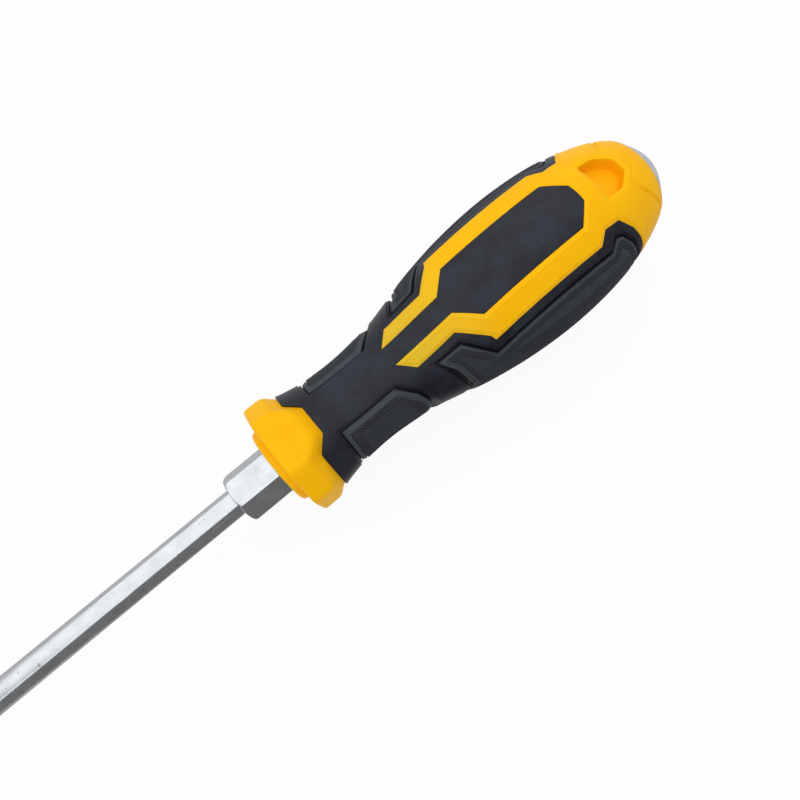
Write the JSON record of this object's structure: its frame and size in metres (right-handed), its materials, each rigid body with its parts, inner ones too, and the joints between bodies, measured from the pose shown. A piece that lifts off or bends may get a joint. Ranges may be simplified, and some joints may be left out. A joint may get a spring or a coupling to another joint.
{
  "type": "cross-head screwdriver",
  "caption": "Strike-through cross-head screwdriver: hexagonal bar, wrench bolster, guarded two-colour handle with soft textured pads, and a domed steel cap.",
  "frame": {"origin": "centre of the flat end of the cross tip", "axes": "+X along the tool towards its butt, +Z out of one of the two handle faces that carry the ribs, +Y out of one side pad"},
  "size_m": [0.2149, 0.0374, 0.037],
  "materials": {
    "plated_steel": "satin plated, with fine scratches along the flats",
    "yellow_plastic": "hard moulded plastic, satin",
    "charcoal_rubber": "smooth soft moulding with a low sheen",
    "pad_rubber": "matte, with fine moulded ribs",
    "cap_steel": "turned and bead-blasted"
  },
  "bodies": {
    "root": {"blade": "plated_steel", "bolster": "plated_steel", "handle_core": "yellow_plastic", "grip_sleeve": "charcoal_rubber", "front_pad_left": "pad_rubber", "front_pad_right": "pad_rubber", "rear_pad_left": "pad_rubber", "rear_pad_right": "pad_rubber", "strike_cap": "cap_steel"}
  },
  "joints": []
}
